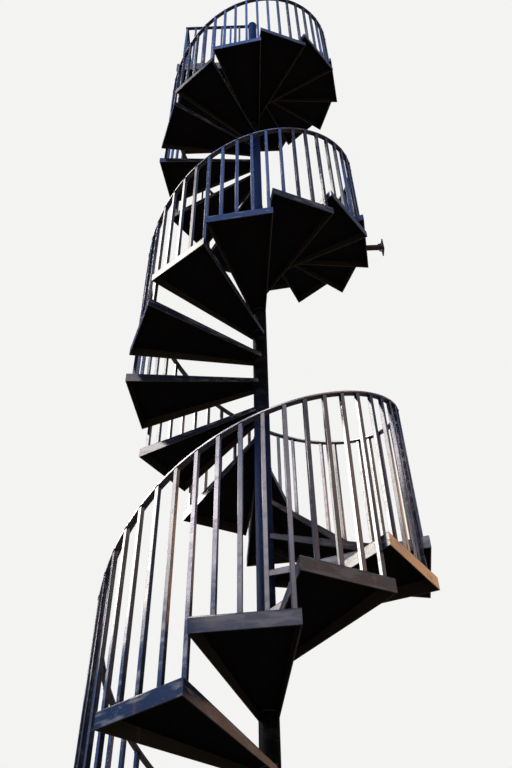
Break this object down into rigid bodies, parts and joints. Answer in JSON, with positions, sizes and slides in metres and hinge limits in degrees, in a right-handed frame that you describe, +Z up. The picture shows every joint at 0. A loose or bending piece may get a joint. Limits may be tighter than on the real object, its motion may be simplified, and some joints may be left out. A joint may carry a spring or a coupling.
{
  "type": "spiral staircase",
  "caption": "Tall outdoor spiral staircase of painted steel: pan treads on a round centre pole, square balusters under a flat helical handrail, and a landing with guards at the top.",
  "frame": {"origin": "on the ground, under the middle of the centre pole, on the base plate's bottom face", "axes": "+Z up along the pole; +X towards the side wall that the bracket is fixed to; +Y towards the back wall that the landing is fixed to"},
  "size_m": [1.608, 1.5737, 10.684],
  "materials": {
    "tread_paint": "semi-gloss black paint, dusty on top",
    "pole_paint": "semi-gloss black paint with light scuffs",
    "baluster_paint": "semi-gloss black paint, chipped at the edges",
    "handrail_paint": "semi-gloss black paint, worn along its edges",
    "landing_paint": "black paint browned by rust"
  },
  "bodies": {
    "root": {"base_plate": "pole_paint", "centre_pole": "pole_paint", "pole_cap": "pole_paint", "tread_01": "tread_paint", "tread_02": "tread_paint", "tread_03": "tread_paint", "tread_04": "tread_paint", "tread_05": "tread_paint", "tread_06": "tread_paint", "tread_07": "tread_paint", "tread_08": "tread_paint", "tread_09": "tread_paint", "tread_10": "tread_paint", "tread_11": "tread_paint", "tread_12": "tread_paint", "tread_13": "tread_paint", "tread_14": "tread_paint", "tread_15": "tread_paint", "tread_16": "tread_paint", "tread_17": "tread_paint", "tread_18": "tread_paint", "tread_19": "tread_paint", "tread_20": "tread_paint", "tread_21": "tread_paint", "tread_22": "tread_paint", "tread_23": "tread_paint", "tread_24": "tread_paint", "tread_25": "tread_paint", "tread_26": "tread_paint", "tread_27": "tread_paint", "tread_28": "tread_paint", "tread_29": "tread_paint", "tread_30": "tread_paint", "tread_31": "tread_paint", "tread_32": "tread_paint", "tread_33": "tread_paint", "tread_34": "tread_paint", "tread_35": "tread_paint", "tread_36": "tread_paint", "tread_37": "tread_paint", "tread_38": "tread_paint", "tread_39": "tread_paint", "tread_40": "tread_paint", "tread_41": "tread_paint", "tread_42": "tread_paint", "tread_43": "tread_paint", "balusters_turn_1": "baluster_paint", "balusters_turn_2": "baluster_paint", "balusters_turn_3": "baluster_paint", "balusters_turn_4": "baluster_paint", "handrail_turn_1": "handrail_paint", "handrail_turn_2": "handrail_paint", "handrail_turn_3": "handrail_paint", "handrail_turn_4": "handrail_paint", "top_landing": "landing_paint", "landing_guard_front": "baluster_paint", "landing_guard_side": "baluster_paint", "landing_guard_return": "baluster_paint", "wall_bracket": "pole_paint"}
  },
  "joints": []
}
